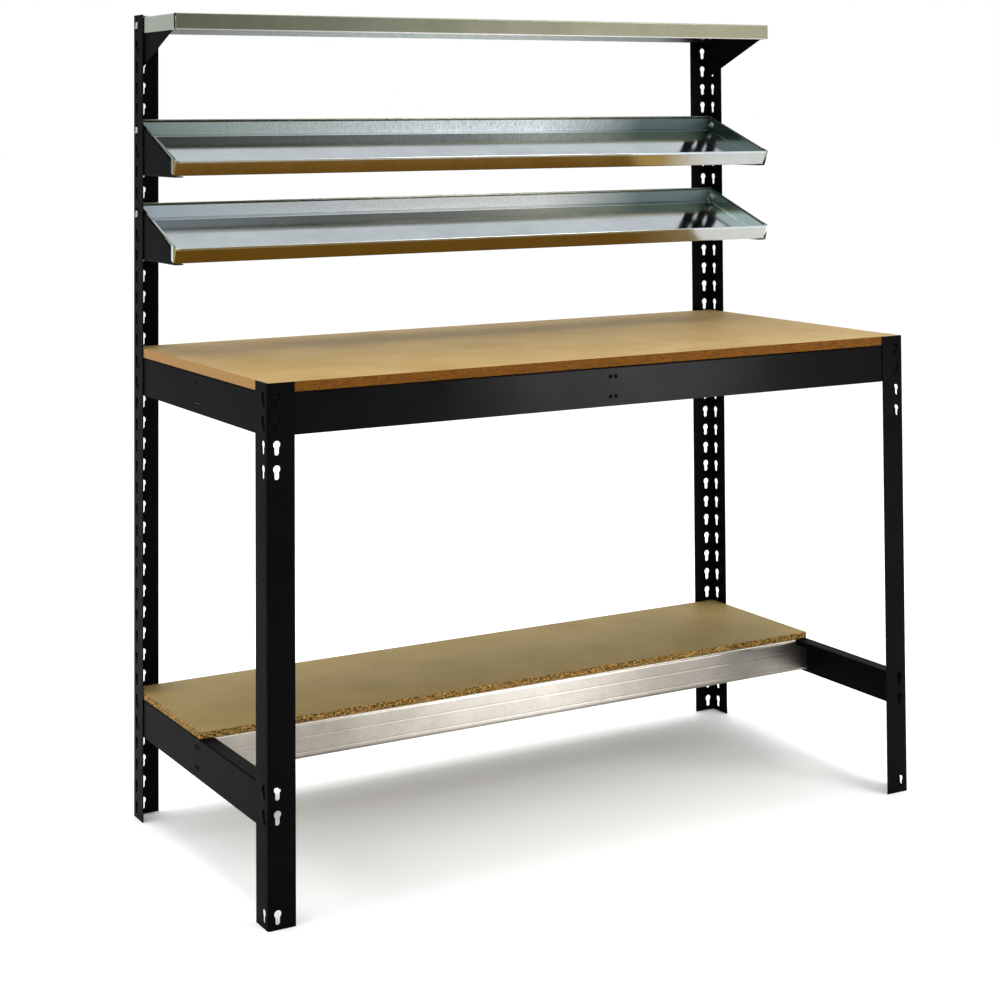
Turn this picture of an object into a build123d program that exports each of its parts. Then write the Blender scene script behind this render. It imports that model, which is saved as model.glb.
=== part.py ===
from build123d import *
import os
from math import cos, radians, sin

os.makedirs("parts", exist_ok=True)

# A boltless steel workbench with a half-depth lower shelf, two tilted trays and a top shelf.
# Millimetres. X runs along the bench, Y from its front to its back, Z up.
# The origin is on the floor, under the middle of the bench.

# Overall sizes
bench_width = 1285.0
bench_depth = 610.0

# Keyholes: a round head that a stud enters, and a narrower slot below it where the stud seats
hole_pitch = 38.0
end_margin = 19.0
hole_inset = 16.5
keyhole_head_radius = 6.25
keyhole_slot_width = 8.0
keyhole_head_rise = 5.2
keyhole_seat_drop = 7.4
rear_hole_rows = range(38)
worktop_stud_rows = (20, 21)
lower_stud_rows = (4, 5)
spare_leg_rows = (0, 18, 19)

# Uprights: equal angles folded from sheet
post_flange = 47.0
post_thickness = 1.8
post_bend = 1.0

# Beams: a web with a flange on top whose edge turns down
beam_height = 67.0
beam_flange = 28.0
beam_lip = 10.0
beam_thickness = 1.5
beam_bend = 1.5
stud_below_beam_top = 16.4
notch_clearance = 1.5

# Studs riveted into the beams and the shelf brackets
stud_shank_radius = 3.7
stud_head_radius = 5.8
stud_head_height = 1.8
stud_clench_radius = 5.5
stud_clench_height = 1.2

# Galvanised channel, used as the lower front rail and as the cross bar under the worktop
channel_height = 62.0
channel_flange = 30.0
channel_lip = 8.0
channel_foot = 12.0
channel_thickness = 1.2
channel_bend = 4.8
swage_depth = 0.15
swage_width = 3.0
swage_shares = (0.82, 0.4)

# Rivets that hold the channel's end tabs, two by two
rivet_shank_radius = 2.0
rivet_head_radius = 3.6
rivet_head_height = 1.2
rivet_column_pitch = 11.0
rivet_row_pitch = 34.0

# Boards
worktop_thickness = 16.0
shelf_board_thickness = 11.0
shelf_board_setback = 0.9
board_corner = 2.5

# Folded panels: the top shelf has its lips down, the two trays have them up
panel_depth = 210.0
panel_lip = 29.5
panel_thickness = 1.0
panel_bend = 1.2
corner_relief = 12.0
hem_height = 5.5
lip_end_cut = 10.5
lip_end_rise = 27.0
corner_tab_reach = 20.0
corner_tab_taper = 9.0
tray_tilt = 20.0
bolt_above_tray_floor = 12.8
top_shelf_drop = 4.0
bolt_rows = {"top_shelf": 37, "upper_tray": 32, "lower_tray": 28}

# Brackets: a wedge-shaped plate with one flange, used flange down or flange up
bracket_thickness = 2.0
bracket_bend = 1.2
bracket_flange = 18.0
bracket_rear_height = 103.0
bracket_front_height = 24.0

# Bolts and nuts
bolt_radius = 3.0
bolt_head_radius = 6.5
bolt_head_height = 3.6
bolt_head_taper = 40.0
bolt_overhang = 3.0
nut_flats = 10.0
nut_sides = 6
nut_height = 5.0
nut_flange_radius = 7.0
nut_flange_height = 1.2

# Sides of what is round in the real bench and repeats here many times
keyhole_sides = 8
pin_sides = 8
rivet_sides = 6

# Clearances
seat_gap = 0.2
side_gap = 0.3
hole_clearance = 0.15
cut_overrun = 5.0

half_width = bench_width / 2
half_depth = bench_depth / 2
ends = {"left": -1, "right": 1}


def keyhole_height(row):
    """Height of the middle of the keyhole in a row, counted from zero at the floor."""
    return end_margin + row * hole_pitch


def seat_height(row):
    """Height at which a stud sits in the keyhole of a row."""
    return keyhole_height(row) - keyhole_seat_drop


# Heights that follow from the keyholes
rear_post_height = keyhole_height(rear_hole_rows[-1]) + end_margin
worktop_beam_top = seat_height(worktop_stud_rows[-1]) + stud_below_beam_top
lower_beam_top = seat_height(lower_stud_rows[-1]) + stud_below_beam_top
leg_height = worktop_beam_top + seat_gap + worktop_thickness

# Outer faces of the pieces inside the uprights, measured inwards from the uprights' own
web_inset = post_thickness + seat_gap
web_inner_inset = web_inset + beam_thickness
flange_inner_inset = web_inset + beam_flange
corner_inset = post_thickness + post_bend + side_gap
sheet_inset = post_thickness + side_gap
bracket_rear_inset = sheet_inset + panel_thickness + panel_bend + side_gap

# The same beside the rear uprights, where the top shelf's end lip lies outside its bracket
# and a tray's end wall lies inside its bracket, with the ends of its front lip outside
bracket_inset = post_thickness + seat_gap
tray_wall_inset = bracket_inset + bracket_thickness + seat_gap
tray_tab_inset = bracket_inset - seat_gap - panel_thickness
top_bracket_inset = bracket_inset + panel_thickness + seat_gap
bolt_grip_inset = tray_wall_inset + panel_thickness


def finish(label, piece):
    """Names a finished piece and writes its file."""
    piece.part.label = label
    export_step(piece.part, f"parts/{label}.step")


def mirrored(label, piece):
    """The same piece for the other end of the bench."""
    with BuildPart() as twin:
        mirror(piece.part, about=Plane.YZ, mode=Mode.ADD)
    finish(label, twin)


def side_plane(side, inset, height=0.0):
    """Upright plane on one side of the bench: x along it, y up, normal pointing outwards.

    It lies inset from the uprights' outer faces, with its origin at the middle of the side.
    """
    places = {
        "front": ((0, inset - half_depth, height), (1, 0, 0), (0, -1, 0)),
        "rear": ((0, half_depth - inset, height), (-1, 0, 0), (0, 1, 0)),
        "left": ((inset - half_width, 0, height), (0, -1, 0), (-1, 0, 0)),
        "right": ((half_width - inset, 0, height), (0, 1, 0), (1, 0, 0)),
    }
    origin, along, outward = places[side]
    return Plane(origin=origin, x_dir=along, z_dir=outward)


def section_plane(face, distance):
    """Plane across a side plane: x inwards, y up, normal along the side."""
    origin = face.from_local_coords((distance, 0, 0))
    return Plane(origin=origin, x_dir=-face.z_dir, z_dir=face.x_dir)


def plan_plane(face):
    """Level plane through a side plane's origin: x along the side, y inwards, normal up."""
    return Plane(origin=face.origin, x_dir=face.x_dir, z_dir=(0, 0, 1))


def side_length(side):
    """Outer length of one side of the bench."""
    return bench_width if side in ("front", "rear") else bench_depth


def bent_strip(points, thickness, bend):
    """Outline of sheet of one thickness, bent along points and lying to the right of them."""
    with BuildSketch() as strip:
        with BuildLine():
            FilletPolyline(*points, radius=bend + thickness)
            offset(amount=thickness, side=Side.RIGHT)
        make_face()
    return strip.sketch


def few_sided(radius, sides):
    """A round outline drawn with a few flat sides, its lowest side level."""
    with BuildSketch() as outline:
        RegularPolygon(radius, sides, major_radius=False, rotation=-90 + 180 / sides)
    return outline.sketch


# The outline of one keyhole, about its middle
with BuildSketch() as keyhole:
    with Locations((0, keyhole_head_rise)):
        add(few_sided(keyhole_head_radius, keyhole_sides))
    with Locations((0, (keyhole_head_rise - keyhole_seat_drop) / 2)):
        Rectangle(keyhole_slot_width, keyhole_head_rise + keyhole_seat_drop)
    with Locations((0, -keyhole_seat_drop)):
        add(few_sided(keyhole_slot_width / 2, keyhole_sides))

stud_hole = few_sided(stud_shank_radius + hole_clearance, pin_sides)
bolt_hole = few_sided(bolt_radius + hole_clearance, pin_sides)

# The holes for two by two rivets, about their middle
rivet_pattern = GridLocations(rivet_column_pitch, rivet_row_pitch, 2, 2)
with BuildSketch() as rivet_holes:
    with rivet_pattern:
        add(few_sided(rivet_shank_radius + hole_clearance, rivet_sides))


def upright(label, y_side, height, rows):
    """The angle at the left front or left rear corner, with keyholes down both flanges."""
    corner = (-half_width, y_side * half_depth, 0)
    foot = Plane(origin=corner, x_dir=(1, 0, 0), z_dir=(0, 0, -y_side))
    along_x = Plane(origin=corner, x_dir=(1, 0, 0), z_dir=(0, -1, 0))
    along_y = Plane(origin=corner, x_dir=(0, -y_side, 0), z_dir=(-y_side, 0, 0))
    section_path = ((post_flange, 0), (0, 0), (0, post_flange))
    with BuildPart() as post:
        with BuildSketch(foot):
            add(bent_strip(section_path, post_thickness, post_bend))
        extrude(amount=height, dir=(0, 0, 1))
        for face in (along_x, along_y):
            with BuildSketch(face):
                with Locations(*[(hole_inset, keyhole_height(row)) for row in rows]):
                    add(keyhole.sketch)
            extrude(amount=post_thickness + cut_overrun, both=True, mode=Mode.SUBTRACT)
    finish(label, post)
    return post


leg_rows = spare_leg_rows + lower_stud_rows + worktop_stud_rows
mirrored("rear_right_upright", upright("rear_left_upright", 1, rear_post_height, rear_hole_rows))
mirrored("front_right_leg", upright("front_left_leg", -1, leg_height, leg_rows))


def stud_places(side, top, rows):
    """Middles of the studs of one beam, on its web plane."""
    reach = side_length(side) / 2 - hole_inset
    return [(end * reach, seat_height(row) - top) for end in ends.values() for row in rows]


def beam(label, side, top, stud_rows, notched):
    """A beam between two uprights, with holes for its studs and for a channel's rivets.

    A notched beam gives way to the flanges of the two beams that it meets.
    """
    end_inset = corner_inset if notched else web_inner_inset + side_gap
    length = side_length(side) - 2 * end_inset
    web = side_plane(side, web_inset, top)
    path = ((0, -beam_height), (0, 0), (beam_flange, 0), (beam_flange, -beam_lip))
    with BuildPart() as bar:
        with BuildSketch(section_plane(web, length / 2)):
            add(bent_strip(path, beam_thickness, beam_bend))
        extrude(amount=-length)
        if notched:
            notch = flange_inner_inset - end_inset + notch_clearance
            reach = beam_flange - beam_thickness + cut_overrun
            with BuildSketch(plan_plane(web)):
                with GridLocations(length - notch, 0, 2, 1):
                    with Locations((0, beam_thickness + reach / 2)):
                        Rectangle(notch, reach)
            extrude(amount=beam_lip + cut_overrun, both=True, mode=Mode.SUBTRACT)
        with BuildSketch(web):
            with Locations(*stud_places(side, top, stud_rows)):
                add(stud_hole)
            with Locations((0, -beam_height / 2)):
                add(rivet_holes.sketch)
        extrude(amount=-(beam_thickness + cut_overrun), mode=Mode.SUBTRACT)
    finish(label, bar)


def pins(label, groups, sides):
    """Headed pins as one node, drawn with a number of sides.

    Each group has a side, a height, the pins' places beside it, and layers that each give an
    inset, a radius and a length inwards.
    """
    with BuildPart() as node:
        for side, height, places, layers in groups:
            for inset, radius, length in layers:
                with BuildSketch(side_plane(side, inset, height)):
                    with Locations(*places):
                        add(few_sided(radius, sides))
                extrude(amount=-length)
    finish(label, node)


def stud_layers(grip_inset):
    """Head, shank and clenched end of a stud that holds sheet up to an inset."""
    return (
        (-seat_gap, stud_head_radius, -stud_head_height),
        (-seat_gap, stud_shank_radius, grip_inset + 2 * seat_gap),
        (grip_inset + seat_gap, stud_clench_radius, stud_clench_height),
    )


for level, top, rows, sides in (
    ("worktop", worktop_beam_top, worktop_stud_rows, ("front", "rear", "left", "right")),
    ("lower", lower_beam_top, lower_stud_rows, ("rear", "left", "right")),
):
    for side in sides:
        beam(f"{level}_{side}_beam", side, top, rows, side in ("front", "rear"))
    layers = stud_layers(web_inner_inset)
    pins(
        f"{level}_beam_studs",
        [(side, top, stud_places(side, top, rows), layers) for side in sides],
        pin_sides,
    )


def channel(label, side, top):
    """A galvanised channel along the middle of the bench, its web facing the given side.

    Its top is cut back at each end to clear a beam's flange, and the web runs on below it to
    a tab that is riveted to the beam.
    """
    span = side_length(side)
    across_span = bench_width + bench_depth - span
    face = side_plane(side, (across_span - channel_flange) / 2, top)
    length = span - 2 * (web_inner_inset + seat_gap)
    cope_length = (length - span) / 2 + flange_inner_inset + side_gap
    cope_drop = beam_lip + side_gap
    path = [(channel_foot, -channel_height), (0, -channel_height)]
    for share in swage_shares:
        middle = -share * channel_height
        path += [(0, middle - swage_width / 2), (swage_depth, middle), (0, middle + swage_width / 2)]
    path += [(0, 0), (channel_flange, 0), (channel_flange, -channel_lip)]
    with BuildPart() as bar:
        with BuildSketch(section_plane(face, length / 2)):
            add(bent_strip(path, channel_thickness, channel_bend))
        extrude(amount=-length)
        with BuildSketch(face):
            with GridLocations(length - cope_length, 0, 2, 1):
                with Locations((0, (cut_overrun - cope_drop) / 2)):
                    Rectangle(cope_length, cope_drop + cut_overrun)
        extrude(amount=-(channel_flange + cut_overrun), mode=Mode.SUBTRACT)
        for end in ends.values():
            tab_plane = section_plane(face, end * length / 2)
            with BuildSketch(tab_plane):
                with Locations((channel_flange / 2, -(channel_height + cope_drop) / 2)):
                    Rectangle(channel_flange, channel_height - cope_drop)
            extrude(amount=-end * channel_thickness)
            with BuildSketch(tab_plane):
                with Locations((channel_flange / 2, -beam_height / 2)):
                    add(rivet_holes.sketch)
            extrude(amount=channel_thickness, both=True, mode=Mode.SUBTRACT)
    finish(label, bar)


def channel_rivets(label, sides, top):
    """The rivets through the beams' webs and a channel's end tabs."""
    head_inset = web_inset - seat_gap
    tail_inset = web_inner_inset + 2 * seat_gap + channel_thickness
    layers = (
        (head_inset, rivet_head_radius, -rivet_head_height),
        (head_inset, rivet_shank_radius, tail_inset - head_inset),
        (tail_inset, rivet_head_radius, rivet_head_height),
    )
    places = rivet_pattern.local_locations
    pins(label, [(side, top - beam_height / 2, places, layers) for side in sides], rivet_sides)


channel("lower_front_rail", "front", lower_beam_top)
channel_rivets("lower_rail_rivets", ("left", "right"), lower_beam_top)
channel("worktop_cross_bar", "left", worktop_beam_top)
channel_rivets("cross_bar_rivets", ("front", "rear"), worktop_beam_top)


def board(label, depth, thickness, bottom):
    """A loose board on the beams inside the uprights, its back edge at the rear ones."""
    with BuildPart() as slab:
        with BuildSketch(Plane.XY.offset(bottom)):
            with Locations((0, half_depth - sheet_inset - depth / 2)):
                RectangleRounded(bench_width - 2 * sheet_inset, depth, board_corner)
        extrude(amount=thickness)
    finish(label, slab)


worktop_depth = bench_depth - 2 * sheet_inset
# The shelf board ends just behind the face of the rail under it, whose rounded top shows
shelf_board_depth = half_depth - sheet_inset + channel_flange / 2 - shelf_board_setback
board("worktop_board", worktop_depth, worktop_thickness, worktop_beam_top + seat_gap)
board("lower_shelf_board", shelf_board_depth, shelf_board_thickness, lower_beam_top + seat_gap)

# Plane across the bench, for bolts and brackets: x forwards from the uprights' rear face, y up
across = Plane(origin=(0, half_depth, 0), x_dir=(0, -1, 0), z_dir=(-1, 0, 0))
bolt_heights = {name: keyhole_height(row) for name, row in bolt_rows.items()}


def depth_plane(frame, distance):
    """Plane across a folded panel: x from its front to its back, y the way its lips turn."""
    origin = frame.from_local_coords((distance, 0, 0))
    return Plane(origin=origin, x_dir=frame.y_dir, z_dir=frame.x_dir)


def lip_plane(frame, distance):
    """Plane along a folded panel, a distance behind its front edge, normal to the front."""
    origin = frame.from_local_coords((0, distance, 0))
    return Plane(origin=origin, x_dir=frame.x_dir, z_dir=-frame.y_dir)


def wrapped_lip(frame, half_span, foot, top):
    """The ends of a tray's front lip, folded back past the end walls, and its hemmed edge."""
    lip_path = (
        (half_span, corner_tab_reach),
        (half_span, 0),
        (-half_span, 0),
        (-half_span, corner_tab_reach),
    )
    hem_half_span = half_span - foot
    with BuildPart() as lip:
        with BuildSketch(frame.offset(foot)):
            add(bent_strip(lip_path, panel_thickness, panel_bend))
        extrude(amount=top - foot)
        with BuildSketch(depth_plane(frame, -hem_half_span)):
            with Locations((0, panel_lip - hem_height / 2)):
                SlotOverall(hem_height, 2 * panel_thickness, rotation=90)
        extrude(amount=2 * hem_half_span)
        with BuildSketch(depth_plane(frame, 0)):
            with BuildLine():
                Polyline(
                    (corner_tab_reach, top),
                    (corner_tab_reach - corner_tab_taper, foot),
                    (corner_tab_reach, foot),
                    close=True,
                )
            make_face()
        extrude(amount=half_width, both=True, mode=Mode.SUBTRACT)
    return lip.part


def folded_panel(label, frame, half_span, lip_half_span):
    """A shallow galvanised panel with a lip on all four sides, folded from one sheet.

    The frame has its origin at the middle of the front edge, y to the back and z the way the
    lips turn. Where the front lip is the wider, as on a tray, it is hemmed, its ends are folded
    back outside the brackets, and its right end is cut aslant.
    """
    bend_reach = panel_bend + panel_thickness
    wrapped = lip_half_span > half_span
    front_top = panel_lip - panel_thickness if wrapped else panel_lip
    rear_half_span = half_span - bend_reach
    front, rear = (0, 0), (panel_depth, 0)
    left, right = (-half_span, 0), (half_span, 0)
    front_path = ((corner_relief, 0), front, (0, front_top))
    depth_path = ((panel_depth, panel_lip), rear, front, (0, front_top))
    end_path = ((half_span, panel_lip), right, left, (-half_span, panel_lip))
    with BuildPart() as panel:
        with BuildSketch(depth_plane(frame, -half_span)):
            add(bent_strip(front_path, panel_thickness, panel_bend))
        extrude(amount=2 * half_span)
        with BuildSketch(depth_plane(frame, -rear_half_span)):
            add(bent_strip(depth_path, panel_thickness, panel_bend))
        extrude(amount=2 * rear_half_span)
        with BuildSketch(lip_plane(frame, corner_relief)):
            add(bent_strip(end_path, panel_thickness, panel_bend))
        extrude(amount=-(panel_depth - bend_reach - corner_relief))
        if wrapped:
            add(wrapped_lip(frame, lip_half_span, bend_reach, front_top))
            with BuildSketch(lip_plane(frame, bend_reach)):
                with BuildLine():
                    Polyline(
                        (lip_half_span - lip_end_cut, 0),
                        (lip_half_span, lip_end_rise),
                        (lip_half_span, 0),
                        close=True,
                    )
                make_face()
            extrude(amount=bend_reach, mode=Mode.SUBTRACT)
        with BuildSketch(across):
            with Locations((hole_inset, bolt_heights[label])):
                add(bolt_hole)
        extrude(amount=half_width, both=True, mode=Mode.SUBTRACT)
    finish(label, panel)


# The trays: each leans on the rear uprights with its back corner and slopes down to the front
tilt = radians(tray_tilt)
rear_edge_drop = (bolt_above_tray_floor - (hole_inset - sheet_inset) * sin(tilt)) / cos(tilt)
front_edge_drop = rear_edge_drop + panel_depth * sin(tilt)
tray_reach = sheet_inset + panel_depth * cos(tilt)
for name in ("upper_tray", "lower_tray"):
    front_edge = (0, half_depth - tray_reach, bolt_heights[name] - front_edge_drop)
    tray_frame = Plane(origin=front_edge, x_dir=(1, 0, 0), z_dir=(0, -sin(tilt), cos(tilt)))
    folded_panel(name, tray_frame, half_width - tray_wall_inset, half_width - tray_tab_inset)

# The top shelf: the same panel turned over
shelf_top = rear_post_height - top_shelf_drop
shelf_edge = (0, half_depth - sheet_inset - panel_depth, shelf_top)
shelf_frame = Plane(origin=shelf_edge, x_dir=(-1, 0, 0), z_dir=(0, 0, -1))
folded_panel("top_shelf", shelf_frame, half_width - bracket_inset, half_width - bracket_inset)


def bracket(label, end, inset, flange_height, bolt_height, turned_over):
    """A wedge-shaped bracket beside a rear upright, with a flange along its straight edge.

    End is -1 at the left and 1 at the right, and flange_height is that of the flange's outer
    face. Turned over, the flange is on top.
    """
    rear = half_depth - bracket_rear_inset
    length = tray_reach - panel_thickness - side_gap - bracket_rear_inset
    stud_height = bolt_height - hole_pitch - keyhole_seat_drop
    corner = (end * (half_width - inset), rear, flange_height)
    section = Plane(origin=corner, x_dir=(-end, 0, 0), z_dir=(0, end, 0))
    profile = Plane(origin=(0, rear, flange_height), x_dir=(0, -1, 0), z_dir=(-1, 0, 0))
    section_path = ((bracket_flange, 0), (0, 0), (0, bracket_rear_height))
    with BuildPart() as plate:
        with BuildSketch(section):
            add(bent_strip(section_path, bracket_thickness, bracket_bend))
        extrude(amount=length, dir=(0, -1, 0))
        with BuildSketch(profile):
            with BuildLine():
                Polyline(
                    (0, bracket_rear_height),
                    (length, bracket_front_height),
                    (length, bracket_rear_height),
                    close=True,
                )
            make_face()
        extrude(amount=half_width, both=True, mode=Mode.SUBTRACT)
        if turned_over:
            mirror(about=Plane.XY.offset(flange_height), mode=Mode.REPLACE)
        with BuildSketch(across):
            with Locations((hole_inset, bolt_height)):
                add(bolt_hole)
            with Locations((hole_inset, stud_height)):
                add(stud_hole)
        extrude(amount=half_width, both=True, mode=Mode.SUBTRACT)
    finish(label, plate)


bracket_insets = {name: bracket_inset for name in ("upper_tray", "lower_tray")}
bracket_insets["top_shelf"] = top_bracket_inset
for name, inset in bracket_insets.items():
    turned_over = name == "top_shelf"
    if turned_over:
        flange_height = shelf_top - panel_thickness - seat_gap
    else:
        flange_height = bolt_heights[name] - front_edge_drop - seat_gap - bracket_thickness
    for side, end in ends.items():
        bracket(f"{name}_{side}_bracket", end, inset, flange_height, bolt_heights[name], turned_over)

bracket_stud_groups = []
for name, inset in bracket_insets.items():
    stud_height = bolt_heights[name] - hole_pitch - keyhole_seat_drop
    layers = stud_layers(inset + bracket_thickness)
    for side, end in ends.items():
        places = [(end * (half_depth - hole_inset), 0)]
        bracket_stud_groups.append((side, stud_height, places, layers))
pins("bracket_studs", bracket_stud_groups, pin_sides)

# One bolt, its axis along Z and the underside of its domed head at zero
bolt_length = seat_gap + bolt_grip_inset + seat_gap + nut_height + bolt_overhang
with BuildPart() as bolt:
    with BuildSketch():
        add(few_sided(bolt_head_radius, pin_sides))
    extrude(amount=bolt_head_height, taper=bolt_head_taper)
    with BuildSketch():
        add(few_sided(bolt_radius, pin_sides))
    extrude(amount=-bolt_length)

# One flanged nut, its seat at zero and its body below
with BuildPart() as nut:
    for outline, height in (
        (few_sided(nut_flats / 2, nut_sides), nut_height),
        (few_sided(nut_flange_radius, pin_sides), nut_flange_height),
    ):
        with BuildSketch():
            add(outline)
            add(bolt_hole, mode=Mode.SUBTRACT)
        extrude(amount=-height)


def at_both_ends(label, piece, inset, height):
    """Two copies of a bolt or nut, in line with the keyholes of the rear uprights."""
    with BuildPart() as pair:
        for side, end in ends.items():
            column = Location((end * (half_depth - hole_inset), 0, 0))
            with Locations(side_plane(side, inset, height).location * column):
                add(piece.part)
    finish(label, pair)


for name, height in bolt_heights.items():
    at_both_ends(f"{name}_bolts", bolt, -seat_gap, height)
    at_both_ends(f"{name}_nuts", nut, bolt_grip_inset + seat_gap, height)
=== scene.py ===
"""Looks of a boltless steel workbench with a lower shelf, two tilted trays and a top shelf.

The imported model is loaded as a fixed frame. Sheet pieces whose shape is right keep their solids
and get a finish. The punched uprights, the studs, rivets, bolts and nuts and the two boards are
made here in more detail, each in the place of the node that it replaces.
"""

import logging
from dataclasses import dataclass, fields
from enum import Enum
from math import asin, cos, pi, radians, sin
from typing import Iterable, Sequence

import bmesh
import bpy
from mathutils import Euler, Matrix, Vector


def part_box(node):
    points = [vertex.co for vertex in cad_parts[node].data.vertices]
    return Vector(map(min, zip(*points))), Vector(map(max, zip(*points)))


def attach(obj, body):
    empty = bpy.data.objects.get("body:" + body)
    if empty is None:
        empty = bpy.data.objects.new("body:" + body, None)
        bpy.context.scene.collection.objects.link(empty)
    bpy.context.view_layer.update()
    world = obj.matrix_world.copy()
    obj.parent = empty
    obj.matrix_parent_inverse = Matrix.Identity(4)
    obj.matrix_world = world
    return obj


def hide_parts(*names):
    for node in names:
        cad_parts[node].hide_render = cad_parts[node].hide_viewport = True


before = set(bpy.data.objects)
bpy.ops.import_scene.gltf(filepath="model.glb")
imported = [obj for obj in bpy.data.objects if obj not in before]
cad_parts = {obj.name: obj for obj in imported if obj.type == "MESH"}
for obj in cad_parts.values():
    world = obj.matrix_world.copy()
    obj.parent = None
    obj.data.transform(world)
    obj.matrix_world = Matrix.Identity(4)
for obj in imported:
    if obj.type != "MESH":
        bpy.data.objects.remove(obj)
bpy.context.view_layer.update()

log = logging.getLogger("workbench")

MM = 0.001
# Points closer than SAME are merged, and TOUCH is how far a point may lie off its level
SAME = 0.001 * MM
TOUCH = 0.01 * MM
Tree = bpy.types.NodeTree
Node = bpy.types.Node
Socket = bpy.types.NodeSocket
Point = tuple[float, float]
Place = Sequence[float]


@dataclass(frozen=True)
class Rows:
    """The rows of keyholes that set the heights of the bench, in millimetres."""

    pitch: float = 38.0
    first: float = 19.0
    inset: float = 16.5
    seat_drop: float = 7.4
    top_shelf: int = 37
    upper_tray: int = 32
    lower_tray: int = 28

    def height(self, row: int) -> float:
        """Height of a row above the floor."""
        return self.first + row * self.pitch

    def seat(self, row: int) -> float:
        """Height at which a stud sits in the keyhole of a row."""
        return self.height(row) - self.seat_drop


ROWS = Rows()


def linear(colour: str) -> tuple[float, float, float, float]:
    """Turns an sRGB hex colour into linear light.

    Args:
        colour: Six hex digits after a hash sign.

    Returns:
        Red, green, blue and an alpha of one.
    """
    shares = [int(colour[i:i + 2], 16) / 255 for i in (1, 3, 5)]
    lit = [s / 12.92 if s <= 0.04045 else ((s + 0.055) / 1.055) ** 2.4 for s in shares]
    return lit[0], lit[1], lit[2], 1.0


def per(size: float) -> float:
    """Scale of a pattern whose features are this many millimetres across."""
    return 1 / (size * MM)


def feed(tree: Tree, node: Node, inputs: dict) -> None:
    """Fills inputs of a node.

    Args:
        tree: The node's tree.
        node: The node.
        inputs: For a socket's name or number, an output that feeds it, a hex colour or a value.
    """
    for socket, value in inputs.items():
        if isinstance(value, Socket):
            tree.links.new(value, node.inputs[socket])
        elif isinstance(value, str) and value.startswith("#"):
            node.inputs[socket].default_value = linear(value)
        else:
            node.inputs[socket].default_value = value


def add_node(
    tree: Tree, kind: str, inputs: dict | None = None,
    stops: Sequence[tuple[float, str]] = (), **settings: object,
) -> Node:
    """Adds one node with its settings, values and links.

    Args:
        tree: Tree that gets the node.
        kind: Blender's name of the node.
        inputs: What fills its sockets.
        stops: For a colour ramp, its places and colours.
        settings: The node's own attributes.

    Returns:
        The node.
    """
    node = tree.nodes.new(kind)
    for name, value in settings.items():
        setattr(node, name, value)
    feed(tree, node, inputs or {})
    if stops:
        marks = node.color_ramp.elements
        while len(marks) < len(stops):
            marks.new(0.5)
        for mark, (place, colour) in zip(marks, stops):
            mark.position, mark.color = place, linear(colour)
    return node


def maths(tree: Tree, operation: str, first: object, second: object = 0.0) -> Socket:
    """Works out one number from two."""
    return add_node(tree, "ShaderNodeMath", {0: first, 1: second}, operation=operation).outputs[0]


def vector(tree: Tree, **coordinates: object) -> Socket:
    """Puts a vector together from its named coordinates."""
    return add_node(tree, "ShaderNodeCombineXYZ", coordinates).outputs[0]


def axes(tree: Tree, place: Socket) -> tuple[Socket, ...]:
    """Takes a vector apart into its three coordinates."""
    return tuple(add_node(tree, "ShaderNodeSeparateXYZ", {0: place}).outputs)


def mix(tree: Tree, share: object, low: object, high: object, blend: str = "MIX") -> Socket:
    """Mixes two colours, hex digits or outputs, by the share of the second."""
    inputs = {0: share, 6: low, 7: high}
    return add_node(tree, "ShaderNodeMix", inputs, data_type="RGBA", blend_type=blend).outputs[2]


def scaled(tree: Tree, place: Socket, sizes: Sequence[float]) -> Socket:
    """Coordinates in which features of so many millimetres are one unit across."""
    inputs = {"Vector": place, "Scale": [per(size) for size in sizes]}
    return add_node(tree, "ShaderNodeMapping", inputs).outputs[0]


def noise(tree: Tree, place: Socket, sizes: Sequence[float], detail: float) -> Socket:
    """A cloudy pattern about a half, its features so many millimetres across."""
    inputs = {"Vector": scaled(tree, place, sizes), "Scale": 1.0, "Detail": detail}
    return add_node(tree, "ShaderNodeTexNoise", {**inputs, "Roughness": 0.6}).outputs["Fac"]


def spread(tree: Tree, value: Socket, low: float, high: float) -> Socket:
    """Stretches the middle of a cloudy pattern over a range."""
    inputs = {"Value": value, "From Min": 0.3, "From Max": 0.7, "To Min": low, "To Max": high}
    return add_node(tree, "ShaderNodeMapRange", inputs).outputs["Result"]


def zone(
    tree: Tree, value: Socket, outside: float, inside: float, **settings: object,
) -> Socket:
    """Zero where a value is outside a zone, one inside it, and shares between."""
    inputs = {"Value": value, "From Min": outside, "From Max": inside}
    return add_node(tree, "ShaderNodeMapRange", inputs, **settings).outputs["Result"]


def bumps(tree: Tree, height: Socket, strength: float, depth: float) -> Socket:
    """Normals of a fine relief so many millimetres deep."""
    inputs = {"Height": height, "Strength": strength, "Distance": depth * MM}
    return add_node(tree, "ShaderNodeBump", inputs).outputs[0]


def fed(shader: Node, name: str) -> Socket:
    """The output that feeds one input of a shader."""
    return shader.inputs[name].links[0].from_socket


class Finish:
    """A finish, whose material is made at its first use."""

    title: str

    def dress(self, tree: Tree, shader: Node, place: Socket) -> None:
        """Adds the finish's own nodes, on the object coordinates in metres."""
        raise NotImplementedError

    def material(self) -> bpy.types.Material:
        """The material of this finish.

        Returns:
            The material, made on the first call.
        """
        known = bpy.data.materials.get(self.title)
        if known:
            return known
        made = bpy.data.materials.new(self.title)
        made.use_nodes = True
        tree = made.node_tree
        tree.nodes.clear()
        shader = add_node(tree, "ShaderNodeBsdfPrincipled")
        add_node(tree, "ShaderNodeOutputMaterial", {"Surface": shader.outputs["BSDF"]})
        self.dress(tree, shader, add_node(tree, "ShaderNodeTexCoord").outputs["Object"])
        return made


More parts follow.
